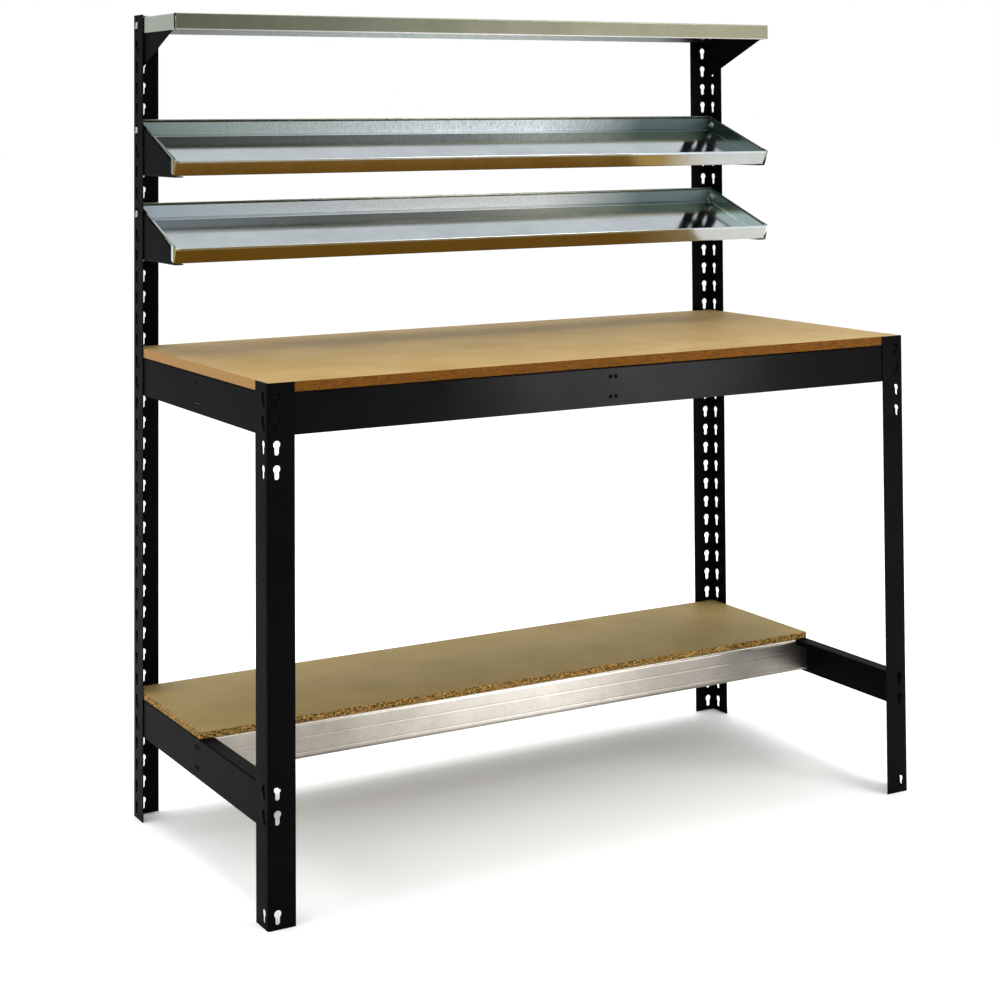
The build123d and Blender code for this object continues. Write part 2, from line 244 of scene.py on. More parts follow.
@dataclass(frozen=True)
class PowderCoat(Finish):
    """Black polyester powder, sprayed and baked on folded steel."""

    # Deep satin black with a faint orange peel: flat faces stay even, edges catch a thin light
    title: str = "Black powder coat on folded steel"
    colour: str = "#050505"
    dusty: str = "#0B0B0B"
    peel: float = 1.6
    peel_depth: float = 0.05
    cloud: float = 140.0
    gloss: float = 0.01
    sheen: Point = (0.36, 0.46)

    def dress(self, tree: Tree, shader: Node, place: Socket) -> None:
        """Adds an even black, faint handling haze and orange peel."""
        haze = noise(tree, place, (self.cloud,) * 3, 4.0)
        peel = noise(tree, place, (self.peel,) * 3, 2.0)
        feed(tree, shader, {
            "Base Color": mix(tree, spread(tree, haze, 0.0, 0.6), self.colour, self.dusty),
            "Roughness": spread(tree, haze, *self.sheen),
            "Specular IOR Level": self.gloss,
            "Normal": bumps(tree, peel, 0.35, self.peel_depth),
        })


@dataclass(frozen=True)
class Galvanised(Finish):
    """Hot-dip galvanised steel sheet, cold folded."""

    # Bright grey metal, nearly mirroring, with fine crystal streaks and soft dull blotches
    title: str = "Galvanised steel sheet"
    light: str = "#BDC2C4"
    dark: str = "#8F9597"
    crystal: Sequence[float] = (1.6, 1.6, 9.0)
    streak: Sequence[float] = (2.5, 2.5, 120.0)
    cloud: float = 90.0
    blotches: Point = (0.15, 0.6)
    crystals: Point = (0.0, 0.4)
    dullness: Point = (0.12, 0.26)
    relief: float = 0.25
    relief_depth: float = 0.04
    edge: float = 1 * MM

    def dress(self, tree: Tree, shader: Node, place: Socket) -> None:
        """Adds fine crystals, streaks and blotches."""
        crystals = noise(tree, place, self.crystal, 3.0)
        streaks = noise(tree, place, self.streak, 4.0)
        blotch = noise(tree, place, (self.cloud,) * 3, 5.0)
        base = mix(tree, spread(tree, blotch, *self.blotches), self.light, self.dark)
        dull = [spread(tree, pattern, *self.dullness) for pattern in (blotch, streaks)]
        height = mix(tree, 0.5, streaks, crystals)
        feed(tree, shader, {
            "Base Color": mix(tree, spread(tree, crystals, *self.crystals), base, self.dark),
            "Roughness": mix(tree, 0.5, *dull),
            "Metallic": 1.0,
            "Normal": bumps(tree, height, self.relief, self.relief_depth),
        })
        self.wear(tree, shader, place, streaks)

    def wear(self, tree: Tree, shader: Node, place: Socket, streaks: Socket) -> None:
        """Lays what wear leaves over the colour and roughness already linked, here nothing."""


@dataclass(frozen=True)
class RolledChannel(Galvanised):
    """Galvanised sheet rolled into a channel."""

    # Pale satin metal with streaks along it, painted darker towards its ends as a reflection
    title: str = "Galvanised roll-formed channel"
    light: str = "#CEC7BF"
    dark: str = "#9D978F"
    crystal: Sequence[float] = (6.0, 1.6, 1.6)
    streak: Sequence[float] = (160.0, 2.5, 2.5)
    cloud: float = 55.0
    dullness: Point = (0.3, 0.4)
    relief: float = 0.05
    edge: float = 0.4 * MM
    top: float = 0.0
    fold: float = 2.2 * MM
    # The top fold's pale line is a painted highlight; towards both ends a painted reflection darkens
    # it
    bright: str = "#FFFDF8"
    left_end: Point = (-0.08, -0.4)
    right_end: Point = (0.05, 0.28)
    ends: str = "#C3C2BF"

    def wear(self, tree: Tree, shader: Node, place: Socket, streaks: Socket) -> None:
        """Paints a darker reflection towards the channel's ends and a highlight along its top fold.
        """
        x, _, z = axes(tree, place)
        ends = [zone(tree, x, *end) for end in (self.left_end, self.right_end)]
        fold = zone(tree, z, self.top - self.fold - self.edge, self.top - self.fold)
        base = fed(shader, "Base Color")
        base = mix(tree, maths(tree, "MAXIMUM", *ends), base, self.ends, "MULTIPLY")
        feed(tree, shader, {"Base Color": mix(tree, fold, base, self.bright)})


@dataclass(frozen=True)
class TopSheet(Galvanised):
    """Galvanised sheet of the top shelf, which turns down into a lip with a hem."""

    # Cool grey; painted on: an olive reflection on the front lip and a highlight on its hem
    title: str = "Galvanised sheet of the top shelf"
    light: str = "#B4BAB8"
    dark: str = "#8C9190"
    dullness: Point = (0.21, 0.26)
    relief: float = 0.03
    hem_top: float = 0.0
    end_start: float = 0.0
    lip_end: float = 0.097
    # The front lip's olive painted reflection, fainter towards the right and broken by streaks
    film_fade: Point = (-0.1, 0.55)
    film_streaks: Point = (0.0, 0.05)
    film: str = "#737364"
    faint_lip_reflection: str = "#9E9E88"
    # The hem's painted highlight and the end lips' pale painted reflection
    hem: str = "#CDC7C7"
    ends: str = "#CFD5D0"

    def wear(self, tree: Tree, shader: Node, place: Socket, streaks: Socket) -> None:
        """Paints an olive reflection on the lip, a highlight on its hem, a pale reflection on the
        ends.
        """
        x, y, z = axes(tree, place)
        across = maths(tree, "ABSOLUTE", x)
        end = zone(tree, across, self.end_start - self.edge, self.end_start)
        lip = zone(tree, y, self.lip_end, self.lip_end - self.edge)
        hem = zone(tree, z, self.hem_top, self.hem_top - self.edge / 2)
        base = mix(tree, end, fed(shader, "Base Color"), self.ends)
        film = mix(tree, zone(tree, x, *self.film_fade), self.film, self.faint_lip_reflection)
        film = mix(tree, spread(tree, streaks, *self.film_streaks), film, base)
        film = mix(tree, hem, film, self.hem)
        feed(tree, shader, {"Base Color": mix(tree, lip, base, film)})


@dataclass(frozen=True)
class TraySheet(Galvanised):
    """Galvanised sheet of the tilted trays, with the marks that use and storage left."""

    # Painted light in the colour: the rear wall's pale matt tone and the highlight at its foot,
    # a dark band on the floor for the wall's reflection, a reflection tone on the end walls,
    # and amber reflection on the front lip that thins out towards the right end
    title: str = "Galvanised sheet with bloom and oil film"
    dullness: Point = (0.08, 0.18)
    thin_edge: float = 0.4 * MM
    wall_start: float = 0.291
    # A painted highlight along the bend at the rear wall's foot
    foot_height: float = 3 * MM
    foot: str = "#F4F8F8"
    # The rear wall's pale painted reflection: dimmer at the left, streaked, darker at the right end
    bloom_start: Point = (-0.62, 0.0)
    bloom_end: Point = (0.22, 0.46)
    wall_matt_share: float = 0.7
    bloom_streaks: Point = (-0.3, 0.7)
    wall_dullness: Point = (0.42, 0.6)
    bloom: str = "#F0F6FC"
    bloom_dim: str = "#8A9A95"
    bare: str = "#55686A"
    # A dark band painted on the floor below the rear wall as its reflection; it fades out towards
    # the left and turns paler towards the right
    floor_band_start: float = 0.222
    floor_band_edge: float = 12 * MM
    floor_band_fade: Point = (-0.85, -0.3)
    floor_band_end: Point = (0.0, 0.4)
    slide: str = "#3F4237"
    floor_band_pale: str = "#8E917F"
    # The end walls get a painted reflection tone, dark on the upper tray and pale on the lower
    end_start: float = 0.6345
    ends: str = "#7A8A85"
    # The front lip's amber painted reflection, which thins out towards the right end
    lip_end: float = 0.107
    film_end: Point = (0.46, 0.3)
    film_top: float = 0.0965
    film_least: float = 0.28
    film: str = "#776236"

    def wear(self, tree: Tree, shader: Node, place: Socket, streaks: Socket) -> None:
        """Paints the band, rear wall, end walls and lip as reflections, and the foot's highlight."""
        x, y, _ = axes(tree, place)
        across = maths(tree, "ABSOLUTE", x)
        wall = zone(tree, y, self.wall_start - self.edge, self.wall_start)
        end = zone(tree, across, self.end_start - self.edge, self.end_start)
        base = self.banded(tree, fed(shader, "Base Color"), x, y)
        base = mix(tree, wall, base, self.frosted(tree, streaks, x))
        base = mix(tree, end, base, self.ends)
        # The rear wall is made rougher and partly non-metallic, so that its painted reflection shows
        painted_wall = maths(tree, "MULTIPLY", wall, maths(tree, "SUBTRACT", 1.0, end))
        wall_dull = spread(tree, streaks, *self.wall_dullness)
        covered = maths(tree, "MULTIPLY", painted_wall, self.wall_matt_share)
        feed(tree, shader, {
            "Base Color": mix(tree, self.filmed(tree, x, y), base, self.film),
            "Roughness": mix(tree, painted_wall, fed(shader, "Roughness"), wall_dull),
            "Metallic": maths(tree, "SUBTRACT", 1.0, covered),
        })

    def banded(self, tree: Tree, base: Socket, x: Socket, y: Socket) -> Socket:
        """The floor's colour, with a dark band of painted reflection and a painted highlight at the
        foot.

        Args:
            tree: The material's tree.
            base: The sheet's colour.
            x: Place across the tray.
            y: Place towards its rear.

        Returns:
            The colour.
        """
        rear = zone(tree, y, self.floor_band_start, self.floor_band_start + self.floor_band_edge)
        slide = maths(tree, "MULTIPLY", rear, zone(tree, x, *self.floor_band_fade))
        band = mix(tree, zone(tree, x, *self.floor_band_end), self.slide, self.floor_band_pale)
        # The painted highlight along the bend at the wall's foot
        foot_start = self.wall_start - self.foot_height
        foot = zone(tree, y, foot_start - self.thin_edge, foot_start)
        return mix(tree, foot, mix(tree, slide, base, band), self.foot)

    def frosted(self, tree: Tree, streaks: Socket, x: Socket) -> Socket:
        """The rear wall's painted reflection, dimmer at the left and darker at the right end.

        Args:
            tree: The material's tree.
            streaks: The pattern of the sheet's streaks.
            x: Place across the tray.

        Returns:
            The colour.
        """
        wall_tone = mix(tree, zone(tree, x, *self.bloom_start), self.bloom_dim, self.bloom)
        wall_tone = mix(tree, spread(tree, streaks, *self.bloom_streaks), wall_tone, self.bloom_dim)
        return mix(tree, zone(tree, x, *self.bloom_end), wall_tone, self.bare)

    def filmed(self, tree: Tree, x: Socket, y: Socket) -> Socket:
        """How much of the lip's amber painted reflection a place gets.

        Args:
            tree: The material's tree.
            x: Place across the tray.
            y: Place towards its rear.

        Returns:
            The share that is covered.
        """
        lip = zone(tree, y, self.lip_end, self.lip_end - self.edge)
        cover = maths(tree, "MAXIMUM", zone(tree, x, *self.film_end), self.film_least)
        below = zone(tree, y, self.film_top - self.edge / 2, self.film_top)
        return maths(tree, "MULTIPLY", maths(tree, "MULTIPLY", lip, cover), below)


@dataclass(frozen=True)
class Zinc(Finish):
    """Bright zinc plating on small turned fasteners."""

    # Dull silver with a green-blue cast, darker than the sheet but for its glints
    title: str = "Zinc plated fastener"
    colour: str = "#8E9D99"
    tarnish: str = "#5F6764"
    patch: float = 2.5
    dullness: Point = (0.22, 0.38)

    def dress(self, tree: Tree, shader: Node, place: Socket) -> None:
        """Adds a thin uneven tarnish."""
        patch = noise(tree, place, (self.patch,) * 3, 4.0)
        feed(tree, shader, {
            "Base Color": mix(tree, spread(tree, patch, 0.0, 0.7), self.colour, self.tarnish),
            "Metallic": 1.0,
            "Roughness": spread(tree, patch, *self.dullness),
        })


@dataclass(frozen=True)
class FibreFace(Finish):
    """The pressed and sanded face of a wood fibre or chip board."""

    # Matt warm tan with soft clouds and fine flecks, smoother than sawn wood
    title: str = "Sanded fibreboard face"
    light: str = "#9E8556"
    dark: str = "#8F7441"
    fleck: str = "#755B31"
    fleck_size: Sequence[float] = (3.0, 1.4, 1.4)
    fleck_share: float = 0.35
    fleck_depth: float = 0.1
    cloud: float = 110.0
    roughness: float = 0.6
    gloss: float = 0.14

    def dress(self, tree: Tree, shader: Node, place: Socket) -> None:
        """Adds clouds, flecks and a fine tooth."""
        cloud = noise(tree, place, (self.cloud,) * 3, 5.0)
        flecks = noise(tree, place, self.fleck_size, 3.0)
        colour = mix(tree, spread(tree, cloud, 0.0, 1.0), self.light, self.dark)
        share = spread(tree, flecks, -self.fleck_share, self.fleck_share)
        feed(tree, shader, {
            "Base Color": mix(tree, share, colour, self.fleck),
            "Roughness": self.roughness,
            "Specular IOR Level": self.gloss,
            "Normal": bumps(tree, flecks, 0.2, self.fleck_depth),
        })


@dataclass(frozen=True)
class SawnEdge(Finish):
    """The sawn edge of a board, where its chips and fibres show."""

    # Rough and darker than the face, with pale and dark chips side by side
    title: str = "Sawn fibreboard edge"
    light: str = "#704512"
    dark: str = "#4B2A06"
    chip: Sequence[float] = (7.0, 7.0, 1.6)
    grit: float = 1.2
    depth: float = 0.15
    roughness: float = 0.8
    gloss: float = 0.08
    contrast: float = 0.0
    # Past these places the posts cover the corners, and the edge there gets black as painted shade
    covered: Point = (0.5965, 0.2585)
    rub: str = "#0B0805"

    def dress(self, tree: Tree, shader: Node, place: Socket) -> None:
        """Adds chips of two tones, and black painted as shade where the posts cover the corners."""
        inputs = {"Vector": scaled(tree, place, self.chip), "Scale": 1.0}
        chips = add_node(tree, "ShaderNodeTexVoronoi", inputs).outputs["Color"]
        grey = add_node(tree, "ShaderNodeRGBToBW", {0: chips}).outputs[0]
        grit = noise(tree, place, (self.grit,) * 3, 3.0)
        tones = [spread(tree, p, -self.contrast, 1 + self.contrast) for p in (grey, grit)]
        tone = mix(tree, 0.5, *tones)
        colour = mix(tree, tone, self.dark, self.light)
        # Painted shade: black where the posts cover the board's corners
        rubbed = [
            zone(tree, maths(tree, "ABSOLUTE", along), start, start + 1 * MM)
            for along, start in zip(axes(tree, place), self.covered)
        ]
        feed(tree, shader, {
            "Base Color": mix(tree, maths(tree, "MULTIPLY", *rubbed), colour, self.rub),
            "Roughness": self.roughness,
            "Specular IOR Level": self.gloss,
            "Normal": bumps(tree, tone, 0.8, self.depth),
        })


@dataclass(frozen=True)
class PaleFloor(Finish):
    """Matt pale studio floor."""

    # Almost white, so that only the soft shadow under the bench shows
    title: str = "Pale studio floor"
    light: str = "#FFFFFF"
    dark: str = "#FBFBFA"
    cloud: float = 900.0
    roughness: float = 0.9

    def dress(self, tree: Tree, shader: Node, place: Socket) -> None:
        """Adds the faintest of clouds to a matt white."""
        cloud = noise(tree, place, (self.cloud,) * 3, 3.0)
        colour = mix(tree, cloud, self.light, self.dark)
        feed(tree, shader, {"Base Color": colour, "Roughness": self.roughness})


BLACK = PowderCoat()
RUBBED_BLACK = PowderCoat(
    title="Black powder coat, rubbed smooth at the bench's front", gloss=0.025, sheen=(0.15, 0.22),
)
RAIL_STEEL = RolledChannel(top=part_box("lower_front_rail")[1].z)
BAR_STEEL = RolledChannel(
    title="Galvanised roll-formed channel under the worktop", top=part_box("worktop_cross_bar")[1].z,
)
TOP_STEEL = TopSheet(
    hem_top=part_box("top_shelf")[0].z + 2.2 * MM, end_start=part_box("top_shelf")[1].x - 0.5 * MM,
)
# Each tray has its own copy with its own painted reflections; the lower tray's is painted paler
UPPER_TRAY_STEEL = TraySheet(slide="#2E2F24", floor_band_fade=(-1.3, -0.6), film_end=(0.54, 0.38))
LOWER_TRAY_STEEL = TraySheet(
    title="Galvanised sheet with bloom and oil film, the lower and paler one",
    bloom="#FFFFFF", bloom_dim="#C6D3DC", bare="#728688", ends="#D2E2DC", film="#84703F",
)
# A darker olive copy of the galvanised sheet for the hems: painted shade along the tray rims
HEM_STEEL = Galvanised(title="Galvanised hem", light="#8E8F82", dark="#5E5F52")
ZINC = Zinc()
# A lighter copy of the zinc for the nuts, a painted highlight
LIT_ZINC = Zinc(title="Zinc plated nut and thread end", colour="#DDE0E0", tarnish="#A9A89E")
WORKTOP_FACE = FibreFace()
# The worktop's ends and its front and rear edges get a lighter and a darker copy of one sawn edge:
# painted light, the ends lit from the left
WORKTOP_EDGE = SawnEdge()
WORKTOP_LIT_END = SawnEdge(title="Sawn fibreboard end", light="#997549", dark="#8B693F")
SHELF_FACE = FibreFace(
    title="Pressed chipboard face", light="#948050", dark="#857142", fleck="#5A4724",
    fleck_size=(2.6, 1.6, 1.6), fleck_share=0.65, cloud=120.0,
)
SHELF_EDGE = SawnEdge(
    title="Sawn chipboard edge", light="#B38C4C", dark="#33220C", chip=(2.1, 2.1, 1.6),
    depth=0.8, contrast=0.8,
)


class Slot(Enum):
    """The record's material slots."""

    BLACK = "black_powder_coat"
    SHEET = "galvanised_sheet"
    WORKTOP = "worktop_board"
    SHELF = "shelf_board"
    ZINC = "zinc_plating"


class Side(Enum):
    """The four sides of the bench: direction along it and direction outwards."""

    FRONT = ((1, 0, 0), (0, -1, 0))
    REAR = ((-1, 0, 0), (0, 1, 0))
    LEFT = ((0, -1, 0), (-1, 0, 0))
    RIGHT = ((0, 1, 0), (1, 0, 0))

    @property
    def along(self) -> Vector:
        """Direction along this side."""
        return Vector(self.value[0])

    @property
    def outward(self) -> Vector:
        """Direction away from the bench."""
        return Vector(self.value[1])

    def turn(self) -> Euler:
        """Rotation that takes X along this side, Y up and Z outwards."""
        rows = Matrix((self.along, Vector((0, 0, 1)), self.outward))
        return rows.transposed().to_euler()


def keep(name: str, mesh: bpy.types.Mesh, slot: Slot, *nodes: str) -> None:
    """Turns a mesh into a finished piece of the bench.

    Args:
        name: The piece's name.
        mesh: Its mesh, in place.
        slot: The slot that its finish belongs to; not used.
        nodes: The nodes that it replaces.
    """
    mesh.name = name
    piece = bpy.data.objects.new(name, mesh)
    bpy.context.scene.collection.objects.link(piece)
    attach(piece, "root")
    if nodes:
        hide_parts(*nodes)
    log.info("%s: %d faces", name, len(mesh.polygons))


def settled(name: str, shape: bmesh.types.BMesh, angle: float, *finishes: Finish) -> bpy.types.Mesh:
    """Turns a shape into a mesh with its finishes, every face on the first of them.

    Args:
        name: The mesh's name.
        shape: The shape, which is used up.
        angle: Degrees between faces above which an edge stays sharp.
        finishes: The finishes, in the order of their numbers.

    Returns:
        The mesh.
    """
    mesh = bpy.data.meshes.new(name)
    shape.to_mesh(mesh)
    shape.free()
    mesh.materials.clear()
    for finish in finishes:
        mesh.materials.append(finish.material())
    smooth_bends(mesh, angle)
    return mesh


def smooth_bends(mesh: bpy.types.Mesh, angle: float) -> None:
    """Smooths a mesh but for its edges of more than so many degrees."""
    mesh.shade_smooth()
    mesh.set_sharp_from_angle(angle=radians(angle))


def grown(tree: Tree, base: bpy.types.Mesh, values: dict[str, object]) -> bpy.types.Mesh:
    """Runs a Geometry Nodes tree on a mesh and keeps the result as a plain mesh.

    Args:
        tree: The tree.
        base: The mesh that it starts from.
        values: The tree's inputs by name.

    Returns:
        The new mesh.
    """
    carrier = bpy.data.objects.new("carrier", base)
    bpy.context.scene.collection.objects.link(carrier)
    modifier = carrier.modifiers.new(tree.name, "NODES")
    modifier.node_group = tree
    for item in tree.interface.items_tree:
        if item.item_type == "SOCKET" and item.in_out == "INPUT" and item.name in values:
            modifier[item.identifier] = values[item.name]
    carrier.update_tag()
    view = bpy.context.evaluated_depsgraph_get()
    made = bpy.data.meshes.new_from_object(carrier.evaluated_get(view))
    carrier.modifiers.remove(modifier)
    bpy.data.objects.remove(carrier)
    return made


def new_tree(title: str, sizes: Iterable[tuple[str, str]]) -> tuple[Tree, Node]:
    """Starts a Geometry Nodes tree.

    Args:
        title: The tree's name.
        sizes: Name and socket type of each input between the geometry and the material.

    Returns:
        The tree and its group input node.
    """
    tree = bpy.data.node_groups.new(title, "GeometryNodeTree")
    for name, kind in (("Geometry", "Geometry"), *sizes, ("Material", "Material")):
        tree.interface.new_socket(name=name, in_out="INPUT", socket_type=f"NodeSocket{kind}")
    tree.interface.new_socket(
        name="Geometry", in_out="OUTPUT", socket_type="NodeSocketGeometry"
    )
    return tree, add_node(tree, "NodeGroupInput")


def end_tree(tree: Tree, instances: Socket, source: Node, merge: float) -> None:
    """Ends a tree: instances made real, doubles merged, material set.

    Args:
        tree: The tree.
        instances: Its instances.
        source: The group input node.
        merge: Distance within which points are merged.
    """
    real = add_node(tree, "GeometryNodeRealizeInstances", {"Geometry": instances}).outputs[0]
    inputs = {"Geometry": real, "Distance": merge}
    merged = add_node(tree, "GeometryNodeMergeByDistance", inputs).outputs[0]
    inputs = {"Geometry": merged, "Material": source.outputs["Material"]}
    named = add_node(tree, "GeometryNodeSetMaterial", inputs).outputs[0]
    add_node(tree, "NodeGroupOutput", {"Geometry": named})


@dataclass
class Uprights:
    """Four angle posts, with keyholes down both flanges."""

    flange: float = 47.0
    thickness: float = 1.8
    bend: float = 1.0
    bend_steps: int = 6
    head_radius: float = 6.25
    slot_width: float = 8.0
    head_rise: float = 5.2
    head_steps: int = 16
    slot_steps: int = 8
    rear_rows: int = 38
    leg_rows: tuple[int, ...] = (0, 4, 5, 18, 19, 20, 21)
    sharp_angle: float = 35.0

    def keyhole(self) -> list[Point]:
        """Right half of a keyhole's outline.

        Returns:
            Points from the top of the head to the bottom of the slot, about the keyhole's middle.
        """
        half_slot = self.slot_width / 2
        mouth = asin(half_slot / self.head_radius)
        points = []
        for step in range(self.head_steps // 2 + 1):
            angle = pi / 2 - (pi - mouth) * step * 2 / self.head_steps
            rise = self.head_rise + self.head_radius * sin(angle)
            points.append((self.head_radius * cos(angle), rise))
        for step in range(self.slot_steps // 2 + 1):
            angle = -pi / 2 * step * 2 / self.slot_steps
            points.append((half_slot * cos(angle), half_slot * sin(angle) - ROWS.seat_drop))
        return points

    def section(self) -> list[list[Point]]:
        """Outer and inner corners of the bend.

        Returns:
            Points round the bend, outer and inner, from the first flange to the second.
        """
        centre = self.bend + self.thickness
        turns = [-pi / 2 - pi / 2 * step / self.bend_steps for step in range(self.bend_steps + 1)]
        return [
            [(centre + radius * cos(turn), centre + radius * sin(turn)) for turn in turns]
            for radius in (self.bend + self.thickness, self.bend)
        ]

    def module(self, low: float, high: float, punched: bool) -> bpy.types.Mesh:
        """One length of the angle, open at both ends.

        Args:
            low: Its lower end, from the keyhole's middle.
            high: Its upper end.
            punched: Whether there is a keyhole in each flange.

        Returns:
            The mesh, in metres, its corner on the Z axis and its flanges along X and Y.
        """
        shape = bmesh.new()
        start, inset = self.bend + self.thickness, ROWS.inset

        def face(points: Iterable[Place], swap: bool, flip: bool) -> None:
            """Adds a face, on the other flange if swapped, and turned over if flipped."""
            placed = [Vector((y, x, z) if swap else (x, y, z)) * MM for x, y, z in points]
            corners = [shape.verts.new(point) for point in placed]
            shape.faces.new(corners[::-1] if flip != swap else corners)

        half = self.keyhole()
        for swap in (False, True):
            for depth, flip in ((0.0, False), (self.thickness, True)):
                if not punched:
                    foot = [(x, depth, low) for x in (start, inset, self.flange)]
                    face(foot + [(x, depth, high) for x, _, _ in foot[::-1]], swap, flip)
                    continue
                for hand, edge in ((1, self.flange - inset), (-1, start - inset)):
                    ring = [(0, low), (edge, low), (edge, high), (0, high)]
                    ring += [(hand * x, z) for x, z in half]
                    face([(inset + x, depth, z) for x, z in ring], swap, flip != (hand < 0))
            if punched:
                loop = half + [(-x, z) for x, z in half[-2:0:-1]]
                for (xa, za), (xb, zb) in zip(loop, loop[1:] + loop[:1]):
                    wall = [(xa, 0, za), (xb, 0, zb),
                            (xb, self.thickness, zb), (xa, self.thickness, za)]
                    face([(inset + x, y, z) for x, y, z in wall], swap, True)
            tip = [(self.flange, 0, low), (self.flange, self.thickness, low),
                   (self.flange, self.thickness, high), (self.flange, 0, high)]
            face(tip, swap, False)
        for ring, flip in zip(self.section(), (True, False)):
            for (xa, ya), (xb, yb) in zip(ring, ring[1:]):
                strip = [(xa, ya, low), (xb, yb, low), (xb, yb, high), (xa, ya, high)]
                face(strip, False, flip)
        bmesh.ops.remove_doubles(shape, verts=shape.verts, dist=SAME)
        mesh = bpy.data.meshes.new("angle module")
        shape.to_mesh(mesh)
        shape.free()
        return mesh

    def stack_tree(self) -> Tree:
        """The tree that repeats a module up a post.

        Returns:
            A tree with inputs for the rows, their pitch and the first one's height.
        """
        sizes = (("Rows", "Int"), ("Pitch", "Float"), ("First height", "Float"))
        tree, source = new_tree("Modules up a post", sizes)
        line = add_node(tree, "GeometryNodeMeshLine", {
            "Count": source.outputs["Rows"],
            "Start Location": vector(tree, Z=source.outputs["First height"]),
            "Offset": vector(tree, Z=source.outputs["Pitch"]),
        })
        placed = add_node(
            tree, "GeometryNodeInstanceOnPoints",
            {"Points": line.outputs[0], "Instance": source.outputs["Geometry"]},
        )
        end_tree(tree, placed.outputs[0], source, TOUCH)
        return tree

    def stretches(self, rows: Sequence[bool]) -> list[tuple[bool, int, int]]:
        """Groups rows that follow each other and are alike.

        Args:
            rows: For each row, whether it is punched.

        Returns:
            For each group, whether it is punched, its first row and its number of rows.
        """
        found: list[tuple[bool, int, int]] = []
        for row, punched in enumerate(rows):
            if found and found[-1][0] == punched:
                found[-1] = (punched, found[-1][1], found[-1][2] + 1)
            else:
                found.append((punched, row, 1))
        return found

    def post(self, tree: Tree, rows: Sequence[bool], height: float) -> bmesh.types.BMesh:
        """One post about its own corner.

        Args:
            tree: The tree that stacks modules.
            rows: For each row, whether it is punched.
            height: The post's height in millimetres.

        Returns:
            The closed shape, its corner at the origin.
        """
        half = ROWS.pitch / 2
        shape = bmesh.new()
        for punched, first, count in self.stretches(rows):
            values = {"Rows": count, "Pitch": ROWS.pitch * MM, "Material": BLACK.material(),
                      "First height": (first * ROWS.pitch + half) * MM}
            shape.from_mesh(grown(tree, self.module(-half, half, punched), values))
        top = len(rows) * ROWS.pitch
        if (height - top) * MM > TOUCH:
            shape.from_mesh(self.module(top, height, False))
        bmesh.ops.remove_doubles(shape, verts=shape.verts, dist=TOUCH)
        for level in (0, height):
            rim = [e for e in shape.edges if e.is_boundary
                   and all(abs(v.co.z - level * MM) < TOUCH for v in e.verts)]
            bmesh.ops.edgeloop_fill(shape, edges=rim)
        return shape

    def build(self) -> None:
        """Makes the four posts in the places of their nodes."""
        tree = self.stack_tree()
        rear = [True] * self.rear_rows
        legs = [row in self.leg_rows for row in range(max(self.leg_rows) + 1)]
        for node, rows, finish in (
            ("rear_left_upright", rear, BLACK), ("rear_right_upright", rear, BLACK),
            ("front_left_leg", legs, BLACK), ("front_right_leg", legs, RUBBED_BLACK),
        ):
            low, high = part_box(node)
            shape = self.post(tree, rows, (high.z - low.z) / MM)
            right, back = low.x > 0, low.y > 0
            corner = Vector((high.x if right else low.x, high.y if back else low.y, low.z))
            signs = Matrix.Diagonal((-1 if right else 1, -1 if back else 1, 1, 1))
            place = Matrix.Translation(corner) @ signs
            bmesh.ops.transform(shape, matrix=place, verts=shape.verts)
            bmesh.ops.recalc_face_normals(shape, faces=shape.faces)
            mesh = settled(node, shape, self.sharp_angle, finish)
            keep(f"{node}_punched", mesh, Slot.BLACK, node)


class Sizes:
    """Sizes in millimetres, each an input of a tree under its field's name."""

    @classmethod
    def inputs(cls) -> list[tuple[str, str]]:
        """Name and socket type of each size."""
        return [(cls.label(f.name), "Int" if f.type is int else "Float") for f in fields(cls)]

    def values(self) -> dict[str, object]:
        """The sizes as values of the inputs, lengths in metres."""
        known = {f: getattr(self, f.name) for f in fields(self)}
        return {self.label(f.name): v if f.type is int else v * MM for f, v in known.items()}

    @staticmethod
    def label(name: str) -> str:
        """Name of the input for a field."""
        return name.replace("_", " ").capitalize()


@dataclass
class PinSizes(Sizes):
    """Sizes of a pin with a head and a riveted tail."""

    head_radius: float
    head_height: float
    shank_radius: float
    shank_length: float
    tail_radius: float
    tail_height: float
    sides: int = 20


@dataclass
class ScrewSizes(Sizes):
    """Sizes of a bolt with a domed head and a cross recess."""

    head_radius: float = 6.5
    head_height: float = 3.6
    shank_radius: float = 3.0
    shank_length: float = 13.6
    thread_pitch: float = 1.0
    recess: float = 6.4
    sides: int = 24


@dataclass
class NutSizes(Sizes):
    """Sizes of a flanged nut, ten millimetres across its flats."""

    corner_radius: float = 10.0 / 2 / cos(pi / 6)
    height: float = 5.0
    flange_radius: float = 7.0
    flange_height: float = 1.2
    sides: int = 24


